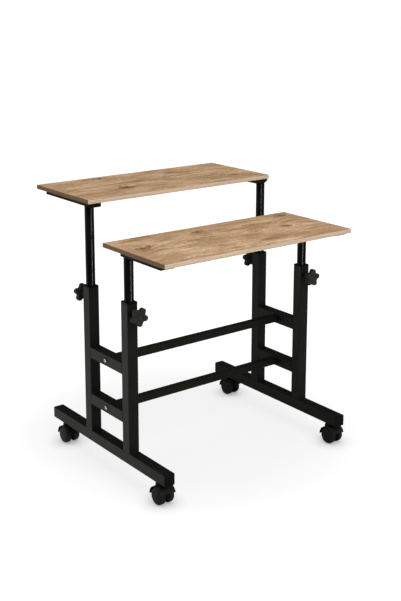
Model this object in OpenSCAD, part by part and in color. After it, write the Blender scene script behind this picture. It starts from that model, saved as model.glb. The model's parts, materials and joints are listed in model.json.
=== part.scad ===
// Height-adjustable two-level desk on castors.
// Origin on the floor, midway across the width and the depth. X is the width, -Y the user's side, Z up.

/* [Boards] */
// Width of each board
board_w = 800; // [600:10:1100]
// Depth of each board
board_d = 350; // [280:5:420]
// Thickness of each board
board_t = 15; // [12:1:25]
// Width of the bevel along the board's edges
board_bevel = 0.8; // [0.3:0.1:2]
// Radius of the board's corners in plan
board_corner_r = 2.5; // [1:0.5:20]
// Height of the front board's top above the floor
front_board_h = 807; // [700:1:980]
// Height of the rear board's top above the floor
rear_board_h = 936; // [700:1:980]
// From the front tubes' axis to the front board's front edge
front_board_reach = 227; // [200:1:260]
// From the rear tubes' axis to the rear board's front edge
rear_board_lip = 26; // [22:1:60]

/* [Side frames] */
// Side of the square steel tube of the legs, rungs and feet
frame_tube = 40; // [36:1:50]
// Wall of the square steel tube
frame_wall = 1.5; // [1.2:0.1:2]
// Outside corner radius of the square steel tube
frame_corner_r = 3; // [2.5:0.5:5]
// From the board's end to the middle of the side frame
frame_inset = 20; // [19:1:60]
// Distance from the front leg's axis to the rear leg's axis
leg_spacing = 235; // [180:1:300]
// Length of each outer leg above the foot
leg_l = 515; // [450:1:560]
// Height of the lower rung's middle above the top of the foot
rung_lower_h = 119; // [60:1:200]
// Height of the upper rung's middle above the top of the foot
rung_upper_h = 288; // [250:1:400]
// Length of each foot with its end caps
foot_l = 700; // [600:5:760]
// From the front leg's axis to the foot's front end
foot_front = 219; // [180:1:260]
// Thickness of the end cap's visible rim
cap_rim_t = 3; // [2:0.5:6]
// Length of the end cap's plug inside the foot
cap_plug_l = 15; // [8:1:30]
// Wall of the end cap's plug
cap_wall = 2; // [1.5:0.5:3]

/* [Crossbars] */
// Side of the square tube of the crossbars
bar_tube = 26; // [19:1:30]
// Wall of the crossbar's tube
bar_wall = 1.5; // [1:0.1:2]
// Outside corner radius of the crossbar's tube
bar_corner_r = 2; // [1.8:0.1:4]
// Diameter of the bolts that hold the crossbars
bolt_d = 8; // [6:1:8]
// Diameter of the bolt's button head
bolt_head_d = 14; // [12:1:18]
// Height of the bolt's button head
bolt_head_h = 4.2; // [3:0.1:6]
// Across flats of the hexagon socket in the bolt's head
bolt_socket = 5; // [4:0.5:6]
// Length of the threaded block in each end of a crossbar
block_l = 14; // [10:1:25]

/* [Telescopic tubes] */
// Outside diameter of the inner tubes
inner_d = 32; // [28:0.5:32.5]
// Wall of the inner tubes
inner_wall = 1.5; // [1.2:0.1:2]
// Length of the inner tubes
inner_l = 520; // [480:1:540]
// Height of the guide collar's rim above the leg
collar_rim_h = 7; // [4:0.5:12]
// Length of the guide collar's sleeve inside the leg
collar_sleeve_l = 60; // [56:1:80]
// Bevel along the top of the guide collar's rim
collar_bevel = 2; // [1:0.25:3]
// Height of the plastic glide's rim under the inner tube
glide_rim_h = 8; // [4:1:12]
// Length of the glide's plug inside the inner tube
glide_plug_l = 20; // [10:1:30]
// Radial clearance between the inner tube and its collar
slide_clear = 0.08; // [0.05:0.01:0.1]
// Clearance between the glide and the inside of the leg
glide_clear = 0.4; // [0.35:0.05:0.8]

/* [Brackets] */
// Width of the bracket under each end of a board
bracket_w = 54; // [50:1:70]
// From the tube's axis to the outer edge of the bracket
bracket_outer = 18.5; // [18:0.1:18.8]
// Thickness of the bracket's sheet steel
bracket_t = 2; // [1.5:0.1:2.2]
// Depth of the bracket's inner and end flanges
bracket_h = 15; // [12:1:20]
// Depth of the bracket's outer flange
bracket_lip_h = 8.5; // [4:0.5:9]
// Depth of the bracket's flanges at its far end
bracket_tip_h = 9; // [8:0.5:12]
// Length of the bracket's deep part round the tube
bracket_deep_l = 60; // [45:1:90]
// Width of the slanted corner of the bracket's ends
bracket_slant = 12; // [6:1:14]
// From the tube's axis to the near end of the bracket
bracket_back = 19; // [19:1:26]
// Length of the brackets under the front board
front_bracket_l = 222; // [180:1:240]
// Length of the brackets under the rear board
rear_bracket_l = 276; // [200:1:300]
// Diameter of the wood screws' shanks
screw_d = 4; // [3:0.5:5]
// Diameter of the wood screws' heads
screw_head_d = 8; // [7:0.5:10]
// Height of the wood screws' heads
screw_head_h = 2.6; // [2:0.1:4]
// Depth that a wood screw reaches into the board
screw_depth = 10; // [6:0.5:10]

/* [Clamp knobs] */
// Distance of the clamp screw below the top of the leg
clamp_drop = 33; // [25:1:38]
// Diameter across the tips of the knob's lobes
knob_d = 64; // [56:1:70]
// Radius of the round end of each lobe
lobe_r = 9; // [7:0.25:10]
// Radius of the hollow between two lobes
valley_r = 6.5; // [5.5:0.25:8]
// Number of lobes
lobes = 5; // [5:1:5]
// Thickness of the knob's star
knob_t = 18; // [14:1:22]
// Diameter of the knob's neck
neck_d = 18; // [16:1:22]
// Length of the knob's neck
neck_l = 10; // [8:1:16]
// From the leg's face to the back of the knob's neck
knob_gap = 18; // [14:1:30]
// Diameter of the clamp screw
clamp_d = 8; // [6:1:8]
// Gap between the clamp screw's tip and the inner tube
clamp_gap = 0.3; // [0.3:0.05:1]
// Across flats of the welded nuts
nut_flats = 13; // [11:1:17]
// Height of the welded nuts
nut_h = 6.5; // [5:0.5:8]

/* [Castors] */
// Diameter of the castor wheels
wheel_d = 60; // [50:1:60]
// Width of one wheel from its rim to its domed face
wheel_w = 21; // [18:0.5:24]
// Gap between the two wheels of a castor
wheel_gap = 18; // [17.5:0.5:22]
// Height of the foot's underside above the floor
castor_h = 73; // [73:1:80]
// Distance of the axle from the swivel axis
castor_trail = 18; // [16.5:0.5:20]
// From the end of the foot to the swivel axis
castor_inset = 56; // [40:1:100]
// Radius of the hub cap on a wheel's outer face
hub_cap_r = 12.5; // [10:0.5:14]
// Depth of the groove round the hub cap
hub_groove = 0.9; // [0.5:0.1:1.5]
// Diameter of the castor's axle
axle_d = 6; // [5:0.5:8]
// Thickness of the housing's hood
hood_t = 2.5; // [2:0.25:3]
// Gap between a wheel and the hood
hood_gap = 1.5; // [1:0.25:2]
// Thickness of the housing's middle web
web_t = 10; // [8:0.5:12]
// Diameter of the stem's journal and thread
stem_d = 8; // [7:0.5:8]
// Across flats of the stem's hexagon
stem_flats = 14; // [12:1:17]

/* [Hidden] */
$fn = 64;

// Clearances that every joint of the same kind shares
thread_clear = 0.03;
journal_clear = 0.05;
pin_clear = 0.02;
wheel_clear = 0.06;
hole_clear = 0.5;
plug_clear = 0.1;
part_gap = 0.3;
cut = 1;

// Places along the depth, with the two boards centred on the origin
depth = front_board_reach + leg_spacing + board_d - rear_board_lip;
front_leg_y = front_board_reach - depth / 2;
rear_leg_y = front_leg_y + leg_spacing;
foot_front_y = front_leg_y - foot_front;
foot_rear_y = foot_front_y + foot_l;
castor_front_y = foot_front_y + castor_inset;
castor_rear_y = foot_rear_y - castor_inset;

// Places across the width and up the height
frame_x = board_w / 2 - frame_inset;
foot_z = castor_h;
foot_top = foot_z + frame_tube;
leg_top = foot_top + leg_l;
clamp_z = leg_top - clamp_drop;
bar_l = 2 * frame_x - frame_tube;
inside = frame_tube - 2 * frame_wall;
wheel_r = wheel_d / 2;
hood_in_r = wheel_r + hood_gap;
hood_r = hood_in_r + hood_t;
steel = [0.09, 0.09, 0.085];
plastic = [0.05, 0.05, 0.05];
zinc = [0.78, 0.78, 0.76];
oak = [0.69, 0.53, 0.38];

// Flat shapes

module round_rect(w, h, r) {
  square([w - 2 * r, h], center = true);
  square([w, h - 2 * r], center = true);
  for (x = [-1, 1], y = [-1, 1])
    translate([x * (w / 2 - r), y * (h / 2 - r)]) circle(r);
}

module tube_section(side, wall, r) {
  difference() {
    round_rect(side, side, r);
    round_rect(side - 2 * wall, side - 2 * wall, r - wall);
  }
}

module bevelled_strip(w, h, b) {
  polygon([
    [-w / 2 + b, -h / 2], [w / 2 - b, -h / 2], [w / 2, -h / 2 + b], [w / 2, h / 2 - b],
    [w / 2 - b, h / 2], [-w / 2 + b, h / 2], [-w / 2, h / 2 - b], [-w / 2, -h / 2 + b]
  ]);
}

function arc(cx, cy, r, from, to, steps) =
  [for (i = [0:steps]) let (a = from + (to - from) * i / steps) [cx + r * cos(a), cy + r * sin(a)]];

// Placing helpers: along_x and along_y extrude a flat shape, whose second axis stays upright

module along_x(length) {
  rotate([90, 0, 90]) linear_extrude(length, center = true) children();
}

module along_y(length) {
  rotate([90, 0, 0]) linear_extrude(length, center = true) children();
}

module rod_x(r, length) {
  rotate([0, 90, 0]) cylinder(r = r, h = length, center = true);
}

module hexagon(flats, height) {
  cylinder(d = flats / cos(30), h = height, $fn = 6);
}

// At the clamp of one leg: local Z points out of the leg's clamp face, which is at zero
module at_clamp(side, leg_y, face) {
  translate([side * frame_x, leg_y + face * frame_tube / 2, clamp_z])
    rotate([-90 * face, 0, 0]) children();
}

module at_each_clamp() {
  for (side = [-1, 1]) {
    at_clamp(side, front_leg_y, -1) children();
    at_clamp(side, rear_leg_y, 1) children();
  }
}

module at_castors(side) {
  for (y = [castor_front_y, castor_rear_y]) translate([side * frame_x, y, 0]) children();
}

// Side frames

module foot(side) {
  color(steel) difference() {
    translate([side * frame_x, (foot_front_y + foot_rear_y) / 2, foot_z + frame_tube / 2])
      along_y(foot_l - 2 * cap_rim_t) tube_section(frame_tube, frame_wall, frame_corner_r);
    at_castors(side) translate([0, 0, foot_z - cut])
      cylinder(d = stem_d + 2 * hole_clear, h = frame_wall + 2 * cut);
  }
}

module end_cap() {
  plug = inside - 2 * plug_clear;
  plug_r = frame_corner_r - frame_wall;
  intersection() {
    translate([0, cap_rim_t / 2, 0]) along_y(cap_rim_t)
      round_rect(frame_tube, frame_tube, frame_corner_r);
    translate([0, cap_rim_t, 0]) rotate([90, 0, 0])
      cylinder(r1 = frame_tube * 0.75, r2 = frame_tube * 0.75 - cap_rim_t, h = cap_rim_t);
  }
  translate([0, cap_rim_t + cap_plug_l / 2, 0]) along_y(cap_plug_l) difference() {
    round_rect(plug, plug, plug_r);
    square(plug - 2 * cap_wall, center = true);
  }
}

module foot_end_caps() {
  color(plastic) for (side = [-1, 1]) {
    translate([side * frame_x, foot_front_y, foot_z + frame_tube / 2]) end_cap();
    translate([side * frame_x, foot_rear_y, foot_z + frame_tube / 2]) mirror([0, 1, 0]) end_cap();
  }
}

module leg(side, leg_y, face) {
  color(steel) difference() {
    translate([side * frame_x, leg_y, foot_top])
      linear_extrude(leg_l) tube_section(frame_tube, frame_wall, frame_corner_r);
    at_clamp(side, leg_y, face) translate([0, 0, -frame_wall - cut])
      cylinder(d = clamp_d + 2 * hole_clear, h = frame_wall + 2 * cut);
  }
}

module rung(side, height) {
  color(steel) translate([side * frame_x, (front_leg_y + rear_leg_y) / 2, foot_top + height])
    difference() {
      along_y(leg_spacing - frame_tube) tube_section(frame_tube, frame_wall, frame_corner_r);
      rod_x(bolt_d / 2 + hole_clear / 2, frame_tube + 2 * cut);
    }
}

module knob_weld_nuts() {
  color(steel) at_each_clamp() difference() {
    hexagon(nut_flats, nut_h);
    translate([0, 0, -cut]) cylinder(r = clamp_d / 2 + thread_clear, h = nut_h + 2 * cut);
  }
}

module castor_weld_nuts() {
  color(zinc) for (side = [-1, 1]) at_castors(side)
    translate([0, 0, foot_z + frame_wall]) difference() {
      hexagon(nut_flats, nut_h);
      translate([0, 0, -cut]) cylinder(r = stem_d / 2 + thread_clear, h = nut_h + 2 * cut);
    }
}

// Crossbars

module crossbar(height) {
  color(steel) translate([0, (front_leg_y + rear_leg_y) / 2, foot_top + height])
    along_x(bar_l) tube_section(bar_tube, bar_wall, bar_corner_r);
}

module at_bar_ends() {
  for (height = [rung_lower_h, rung_upper_h], side = [0, 1])
    translate([0, (front_leg_y + rear_leg_y) / 2, foot_top + height])
      mirror([side, 0, 0]) translate([bar_l / 2, 0, 0]) children();
}

module crossbar_bolts() {
  shank_l = frame_tube + block_l;
  color(zinc) at_bar_ends() {
    translate([(frame_tube - block_l) / 2, 0, 0]) rod_x(bolt_d / 2, shank_l);
    translate([frame_tube, 0, 0]) rotate([0, 90, 0]) difference() {
      rotate_extrude() polygon(concat(
        [[0, 0], [bolt_head_d / 2, 0]],
        arc(bolt_head_d / 2 - bolt_head_h * 0.8, bolt_head_h * 0.2, bolt_head_h * 0.8, 0, 90, 6),
        [[0, bolt_head_h]]
      ));
      translate([0, 0, bolt_head_h / 2]) hexagon(bolt_socket, bolt_head_h);
    }
  }
}

module crossbar_nut_blocks() {
  side = bar_tube - 2 * bar_wall - 2 * plug_clear;
  corner = max(bar_corner_r - bar_wall, 0.3) + plug_clear;
  color(zinc) at_bar_ends() translate([-block_l / 2, 0, 0]) difference() {
    along_x(block_l) round_rect(side, side, corner);
    rod_x(bolt_d / 2 + thread_clear, block_l + 2 * cut);
  }
}

// Telescopic tubes with their collars and glides

module guide_collar(side, leg_y, face) {
  sleeve = inside - 2 * plug_clear;
  bore_r = inner_d / 2 + slide_clear;
  rim_l = frame_tube;
  color(plastic) difference() {
    translate([side * frame_x, leg_y, leg_top]) difference() {
      union() {
        intersection() {
          linear_extrude(collar_rim_h) round_rect(rim_l, rim_l, frame_corner_r);
          along_y(rim_l + cut) translate([0, collar_rim_h / 2])
            collar_side(rim_l, collar_rim_h, collar_bevel);
          along_x(rim_l + cut) translate([0, collar_rim_h / 2])
            collar_side(rim_l, collar_rim_h, collar_bevel);
        }
        translate([0, 0, -collar_sleeve_l]) linear_extrude(collar_sleeve_l + cut)
          round_rect(sleeve, sleeve, frame_corner_r - frame_wall);
      }
      translate([0, 0, -collar_sleeve_l - cut])
        cylinder(r = bore_r, h = collar_sleeve_l + collar_rim_h + 2 * cut);
    }
    at_clamp(side, leg_y, face) translate([0, 0, -frame_tube / 2])
      cylinder(d = clamp_d + 2 * hole_clear, h = frame_tube / 2);
  }
}

module collar_side(w, h, b) {
  polygon([
    [-w / 2, -h / 2], [w / 2, -h / 2], [w / 2, h / 2 - b],
    [w / 2 - b, h / 2], [-w / 2 + b, h / 2], [-w / 2, h / 2 - b]
  ]);
}

module inner_tube(side, leg_y, board_h) {
  top = board_h - board_t - bracket_t;
  color(steel) translate([side * frame_x, leg_y, top - inner_l]) difference() {
    cylinder(d = inner_d, h = inner_l);
    translate([0, 0, -cut]) cylinder(d = inner_d - 2 * inner_wall, h = inner_l + 2 * cut);
  }
}

module tube_glides(leg_y, board_h) {
  bottom = board_h - board_t - bracket_t - inner_l;
  glide = inside - 2 * glide_clear;
  color(plastic) for (side = [-1, 1]) translate([side * frame_x, leg_y, bottom]) {
    translate([0, 0, -glide_rim_h]) cylinder(d = glide, h = glide_rim_h);
    cylinder(d = inner_d - 2 * inner_wall - 2 * plug_clear, h = glide_plug_l);
  }
}

// Boards and their brackets. A bracket runs from the tube towards the board's far edge: reach is -1
// for the front board and 1 for the rear one.

module board(front_y, board_h, leg_y, reach, bracket_l) {
  color(oak) difference() {
    translate([0, front_y + board_d / 2, board_h - board_t / 2]) intersection() {
      along_x(board_w) bevelled_strip(board_d, board_t, board_bevel);
      along_y(board_d) bevelled_strip(board_w, board_t, board_bevel);
      linear_extrude(board_t, center = true) round_rect(board_w, board_d, board_corner_r);
    }
    at_screws(leg_y, reach, bracket_l) translate([0, 0, board_h - board_t - cut])
      cylinder(r = screw_d / 2 + journal_clear, h = screw_depth + 2 * cut);
  }
}

function screw_spots(bracket_l) = concat(
  [[bracket_w - bracket_outer - 10, 0]],
  [for (i = [1:3]) [bracket_w / 2 - bracket_outer, i * (bracket_l - bracket_back - 18) / 3]]
);

module at_screws(leg_y, reach, bracket_l) {
  for (side = [-1, 1], spot = screw_spots(bracket_l))
    translate([side * (frame_x - spot[0]), leg_y + reach * spot[1], 0]) children();
}

module board_screws(leg_y, board_h, reach, bracket_l) {
  color(zinc) at_screws(leg_y, reach, bracket_l)
    translate([0, 0, board_h - board_t - bracket_t]) {
      translate([0, 0, -screw_head_h]) cylinder(d = screw_head_d, h = screw_head_h);
      cylinder(d = screw_d, h = bracket_t + screw_depth);
    }
}

module bracket(side, leg_y, board_h, reach, bracket_l) {
  inner = bracket_w - bracket_outer;
  mid = reach * (bracket_l / 2 - bracket_back);
  near = -reach * bracket_l / 2;
  color(steel) difference() {
    translate([side * frame_x, leg_y + mid, board_h - board_t]) mirror([side > 0 ? 1 : 0, 0, 0])
      difference() {
        intersection() {
          along_y(bracket_l) polygon([
            [-bracket_outer, 0], [inner, 0], [inner, -bracket_h],
            [bracket_slant - bracket_outer, -bracket_h], [-bracket_outer, -bracket_lip_h]
          ]);
          along_x(3 * bracket_w) polygon([
            [near, 0], [-near, 0], [-near, -bracket_tip_h],
            [near + reach * bracket_deep_l, -bracket_h], [near, -bracket_h]
          ]);
        }
        along_y(bracket_l - 2 * bracket_t) translate([bracket_t - bracket_outer, -bracket_h - cut])
          square([bracket_w - 2 * bracket_t, bracket_h + cut - bracket_t]);
      }
    at_screws(leg_y, reach, bracket_l) translate([0, 0, board_h - board_t - bracket_t - cut])
      cylinder(r = screw_d / 2 + hole_clear, h = bracket_t + 2 * cut);
  }
}

// Clamp knobs

module star(turn) {
  step = 180 / lobes;
  lobe_c = knob_d / 2 - lobe_r;
  hollow_r = max(valley_r, lobe_c * sin(step) - lobe_r + 0.3);
  valley_c = lobe_c * cos(step) + sqrt(pow(lobe_r + hollow_r, 2) - pow(lobe_c * sin(step), 2));
  lean = atan2(valley_c * sin(step), valley_c * cos(step) - lobe_c);
  polygon([
    for (i = [0:lobes - 1]) each concat(
      [for (p = arc(lobe_c, 0, lobe_r, -lean, lean, 12)) turned(p, 2 * i * step + turn)],
      [for (p = arc(valley_c * cos(step), valley_c * sin(step), hollow_r,
        180 + lean - lean / 6, 180 + 2 * step - lean + lean / 6, 4)) turned(p, 2 * i * step + turn)]
    )
  ]);
}

function turned(p, a) = [p[0] * cos(a) - p[1] * sin(a), p[0] * sin(a) + p[1] * cos(a)];

// A knob has one lobe upright, turned on by the given angle, which depends on how it was last tightened
module knob(side, leg_y, face, turn = 0) {
  edge = 3;
  bore_l = knob_t - 4;
  neck_r = neck_d / 2;
  knob_r = knob_d / 2;
  star_top = neck_l + knob_t - 0.5 * edge;
  color(plastic) at_clamp(side, leg_y, face) translate([0, 0, knob_gap]) difference() {
    union() {
      rotate_extrude() polygon([
        [0, 0], [neck_r, 0], [neck_r + 1, neck_l], [neck_r + 1, neck_l + 1],
        [neck_r + 2, star_top - 1], [neck_r + 2, star_top], [neck_r, neck_l + knob_t], [0, neck_l + knob_t]
      ]);
      intersection() {
        translate([0, 0, neck_l]) rotate([0, 0, -90 * face])
          linear_extrude(star_top - neck_l) star(turn);
        rotate_extrude() polygon([
          [0, neck_l], [knob_r - edge, neck_l], [knob_r, neck_l + edge],
          [knob_r, star_top - edge], [knob_r - edge, star_top], [0, star_top]
        ]);
      }
    }
    translate([0, 0, -cut]) cylinder(r = clamp_d / 2 + pin_clear, h = neck_l + bore_l + cut);
  }
}

module knob_screw(side, leg_y, face) {
  tip = frame_tube / 2 - inner_d / 2 - clamp_gap;
  chamfer = 1;
  length = tip + knob_gap + neck_l + knob_t - 4;
  color(zinc) at_clamp(side, leg_y, face) translate([0, 0, -tip]) {
    cylinder(d1 = clamp_d - 2 * chamfer, d2 = clamp_d, h = chamfer);
    translate([0, 0, chamfer]) cylinder(d = clamp_d, h = length - chamfer);
  }
}

// Castors, drawn with the swivel axis at the origin and the axle towards the user's side

stem_collar_h = 3.5;
housing_top = castor_h - stem_collar_h - part_gap;
journal_bottom = wheel_r + 10;

module castor_stems() {
  color(zinc) for (side = [-1, 1]) at_castors(side) {
    translate([0, 0, journal_bottom + part_gap])
      cylinder(d = stem_d, h = foot_z + frame_wall + nut_h + 3 - journal_bottom - part_gap);
    translate([0, 0, castor_h - stem_collar_h]) hexagon(stem_flats, stem_collar_h);
  }
}

module hood_sector(r, width) {
  reach = 2 * hood_r;
  front_drop = 20;
  intersection() {
    rod_x(r, width);
    along_x(width) polygon([
      [0, 0], [reach, 0], [reach, reach], [-reach, reach], [-reach, reach * tan(front_drop)]
    ]);
  }
}

module castor_housing(side, y) {
  hood_w = wheel_gap + 2 * wheel_w - 2;
  boss_r = wheel_gap / 2 - 1;
  shoulder_z = wheel_r + sqrt(pow(hood_r, 2) - pow(castor_trail, 2)) - 3;
  color(plastic) translate([side * frame_x, y, 0]) difference() {
    union() {
      translate([0, -castor_trail, wheel_r]) {
        difference() {
          union() {
            hood_sector(hood_r, hood_w);
            translate([0, castor_trail, shoulder_z - wheel_r])
              cylinder(r1 = boss_r + 6, r2 = boss_r + 3, h = housing_top - shoulder_z);
          }
          rod_x(hood_in_r, hood_w + 2 * cut);
        }
        hood_sector(hood_r - hood_t / 2, web_t);
        rod_x(axle_d / 2 + 4, web_t);
      }
      translate([0, 0, journal_bottom - 4]) cylinder(r = boss_r, h = housing_top - journal_bottom + 4);
    }
    translate([0, 0, journal_bottom]) cylinder(r = stem_d / 2 + journal_clear, h = castor_h);
    translate([0, -castor_trail, wheel_r]) rod_x(axle_d / 2 + pin_clear, web_t + 2 * cut);
  }
}

module castor_axle(side, y) {
  color(zinc) translate([side * frame_x, y - castor_trail, wheel_r])
    rod_x(axle_d / 2, wheel_gap + 2 * wheel_w - 9);
}

// One wheel, with its dome towards the given end of the axle
module castor_wheel(side, y, end) {
  inner = wheel_gap / 2;
  outer = inner + wheel_w;
  hub_in = web_t / 2 + 0.5;
  hub_r = axle_d / 2 + 5;
  rim_t = 3.5;
  edge = 9;
  color(plastic) translate([side * frame_x, y - castor_trail, wheel_r]) rotate([0, 90 * end, 0])
    rotate_extrude() polygon(concat(
      [
        [0, outer - 4], [axle_d / 2 + wheel_clear, outer - 4], [axle_d / 2 + wheel_clear, hub_in],
        [hub_r, hub_in], [hub_r, outer - 6], [wheel_r - rim_t - 6, outer - 7.5],
        [wheel_r - rim_t, outer - 12], [wheel_r - rim_t, inner], [wheel_r - 1, inner]
      ],
      [[wheel_r, inner + 1]],
      arc(wheel_r - edge, outer - edge - 1.5, edge, 0, 80, 8),
      [
        [hub_cap_r + 2, outer - 0.9], [hub_cap_r + 1.6, outer - 0.9 - hub_groove],
        [hub_cap_r + 0.4, outer - 0.9 - hub_groove], [hub_cap_r, outer - 0.7],
        [hub_cap_r - 5, outer], [0, outer]
      ]
    ));
}

foot(-1);  // foot_left
foot(1);  // foot_right
foot_end_caps();
leg(-1, front_leg_y, -1);  // leg_front_left
leg(1, front_leg_y, -1);  // leg_front_right
leg(-1, rear_leg_y, 1);  // leg_rear_left
leg(1, rear_leg_y, 1);  // leg_rear_right
rung(-1, rung_upper_h);  // rung_upper_left
rung(1, rung_upper_h);  // rung_upper_right
rung(-1, rung_lower_h);  // rung_lower_left
rung(1, rung_lower_h);  // rung_lower_right
crossbar(rung_upper_h);  // crossbar_upper
crossbar(rung_lower_h);  // crossbar_lower
crossbar_bolts();
crossbar_nut_blocks();
guide_collar(-1, front_leg_y, -1);  // guide_collar_front_left
guide_collar(1, front_leg_y, -1);  // guide_collar_front_right
guide_collar(-1, rear_leg_y, 1);  // guide_collar_rear_left
guide_collar(1, rear_leg_y, 1);  // guide_collar_rear_right
knob_weld_nuts();
castor_weld_nuts();
castor_stems();
board(-depth / 2, front_board_h, front_leg_y, -1, front_bracket_l);  // front_board
bracket(-1, front_leg_y, front_board_h, -1, front_bracket_l);  // front_bracket_left
bracket(1, front_leg_y, front_board_h, -1, front_bracket_l);  // front_bracket_right
inner_tube(-1, front_leg_y, front_board_h);  // front_tube_left
inner_tube(1, front_leg_y, front_board_h);  // front_tube_right
board_screws(front_leg_y, front_board_h, -1, front_bracket_l);  // front_board_screws
tube_glides(front_leg_y, front_board_h);  // front_tube_glides
board(rear_leg_y - rear_board_lip, rear_board_h, rear_leg_y, 1, rear_bracket_l);  // rear_board
bracket(-1, rear_leg_y, rear_board_h, 1, rear_bracket_l);  // rear_bracket_left
bracket(1, rear_leg_y, rear_board_h, 1, rear_bracket_l);  // rear_bracket_right
inner_tube(-1, rear_leg_y, rear_board_h);  // rear_tube_left
inner_tube(1, rear_leg_y, rear_board_h);  // rear_tube_right
board_screws(rear_leg_y, rear_board_h, 1, rear_bracket_l);  // rear_board_screws
tube_glides(rear_leg_y, rear_board_h);  // rear_tube_glides
knob(-1, front_leg_y, -1, 180 / lobes);  // knob_front_left
knob_screw(-1, front_leg_y, -1);  // knob_screw_front_left
knob(1, front_leg_y, -1, -9);  // knob_front_right
knob_screw(1, front_leg_y, -1);  // knob_screw_front_right
knob(-1, rear_leg_y, 1);  // knob_rear_left
knob_screw(-1, rear_leg_y, 1);  // knob_screw_rear_left
knob(1, rear_leg_y, 1);  // knob_rear_right
knob_screw(1, rear_leg_y, 1);  // knob_screw_rear_right
castor_housing(-1, castor_front_y);  // castor_housing_front_left
castor_axle(-1, castor_front_y);  // castor_axle_front_left
castor_wheel(-1, castor_front_y, -1);  // castor_wheel_outer_front_left
castor_wheel(-1, castor_front_y, 1);  // castor_wheel_inner_front_left
castor_housing(1, castor_front_y);  // castor_housing_front_right
castor_axle(1, castor_front_y);  // castor_axle_front_right
castor_wheel(1, castor_front_y, 1);  // castor_wheel_outer_front_right
castor_wheel(1, castor_front_y, -1);  // castor_wheel_inner_front_right
castor_housing(-1, castor_rear_y);  // castor_housing_rear_left
castor_axle(-1, castor_rear_y);  // castor_axle_rear_left
castor_wheel(-1, castor_rear_y, -1);  // castor_wheel_outer_rear_left
castor_wheel(-1, castor_rear_y, 1);  // castor_wheel_inner_rear_left
castor_housing(1, castor_rear_y);  // castor_housing_rear_right
castor_axle(1, castor_rear_y);  // castor_axle_rear_right
castor_wheel(1, castor_rear_y, 1);  // castor_wheel_outer_rear_right
castor_wheel(1, castor_rear_y, -1);  // castor_wheel_inner_rear_right
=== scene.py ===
import json
import math
from functools import partial, reduce

import bmesh
import bpy
from bpy.props import FloatProperty, PointerProperty, StringProperty
from mathutils import Matrix, Vector


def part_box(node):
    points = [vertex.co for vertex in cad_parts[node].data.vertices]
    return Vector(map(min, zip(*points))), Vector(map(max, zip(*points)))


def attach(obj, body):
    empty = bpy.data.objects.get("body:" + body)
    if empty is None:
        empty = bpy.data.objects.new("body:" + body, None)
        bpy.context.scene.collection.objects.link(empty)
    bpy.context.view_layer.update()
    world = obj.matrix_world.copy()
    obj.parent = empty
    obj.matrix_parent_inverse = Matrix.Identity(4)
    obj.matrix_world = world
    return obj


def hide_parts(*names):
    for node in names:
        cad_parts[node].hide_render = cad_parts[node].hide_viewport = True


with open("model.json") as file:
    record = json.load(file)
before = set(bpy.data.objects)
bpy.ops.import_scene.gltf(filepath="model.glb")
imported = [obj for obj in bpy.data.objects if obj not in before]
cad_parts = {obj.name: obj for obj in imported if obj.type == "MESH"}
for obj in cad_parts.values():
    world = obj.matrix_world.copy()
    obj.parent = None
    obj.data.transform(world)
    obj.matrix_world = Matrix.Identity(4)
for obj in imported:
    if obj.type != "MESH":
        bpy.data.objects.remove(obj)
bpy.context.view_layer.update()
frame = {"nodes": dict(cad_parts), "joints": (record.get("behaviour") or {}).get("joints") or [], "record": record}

bl_info = {
    "name": "Height-adjustable desk",
    "version": (1, 0, 0),
    "blender": (4, 5, 0),
    "location": "3D View > Sidebar > Desk",
    "description": "Finishes, fine shapes and studio of a two-level desk on castors",
    "category": "Object",
}

MM = 0.001
# Points closer together than this, in metres, are one point
TOUCHING = 1e-6
NODES = frame["nodes"]
ENDS = ("front", "rear")
SIDES = ("left", "right")
CORNERS = [(end, side) for end in ENDS for side in SIDES]


# Shared helpers


def linear(hex_value):
    """The linear RGBA of an sRGB hex colour such as #bd9c78."""
    parts = [int(hex_value[i:i + 2], 16) / 255 for i in (1, 3, 5)]
    return [c / 12.92 if c <= 0.04045 else ((c + 0.055) / 1.055) ** 2.4 for c in parts] + [1.0]


def node(tree, kind, inputs=(), stops=(), **settings):
    """Adds a shader node with its settings, its links and a ramp's (position, hex colour) stops.

    Inputs go by name in a dict, or else in the order of the sockets in use. Each takes a value, a
    hex colour, an output, or a node, whose first output in use it takes.
    """
    made = tree.nodes.new("ShaderNode" + kind)
    for name, value in settings.items():
        setattr(made, name, value)
    if isinstance(inputs, dict):
        pairs = [(made.inputs[name], value) for name, value in inputs.items()]
    else:
        pairs = zip([socket for socket in made.inputs if socket.enabled], inputs)
    for socket, value in pairs:
        if isinstance(value, bpy.types.Node):
            value = next(output for output in value.outputs if output.enabled)
        if isinstance(value, bpy.types.NodeSocket):
            tree.links.new(value, socket)
        else:
            socket.default_value = linear(value) if isinstance(value, str) else value
    for _ in stops[2:]:
        made.color_ramp.elements.new(0.5)
    for number, (position, colour) in enumerate(stops):
        made.color_ramp.elements[number].position = position
        made.color_ramp.elements[number].color = linear(colour)
    return made


def node_adder(owner):
    """Empties the node tree of a material or world and returns the call that adds its nodes."""
    owner.use_nodes = True
    owner.node_tree.nodes.clear()
    return partial(node, owner.node_tree)


def per_mm(size):
    """The noise scale whose grains are about that many millimetres across."""
    return 1.0 / (size * MM)


# Shape helpers


def box_of(name):
    """The lowest corner, the highest corner and the middle of a CAD node."""
    low, high = (Vector(corner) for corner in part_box(name))
    return low, high, (low + high) / 2


def joint_place(name):
    return Vector(next(joint["pos_m"] for joint in frame["joints"] if joint["name"] == name))


def block(edit, low, high):
    """Adds a box between two corners."""
    low, high = Vector(low), Vector(high)
    made = bmesh.ops.create_cube(edit, size=1.0)["verts"]
    bmesh.ops.scale(edit, vec=high - low, verts=made)
    bmesh.ops.translate(edit, vec=(low + high) / 2, verts=made)


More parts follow.
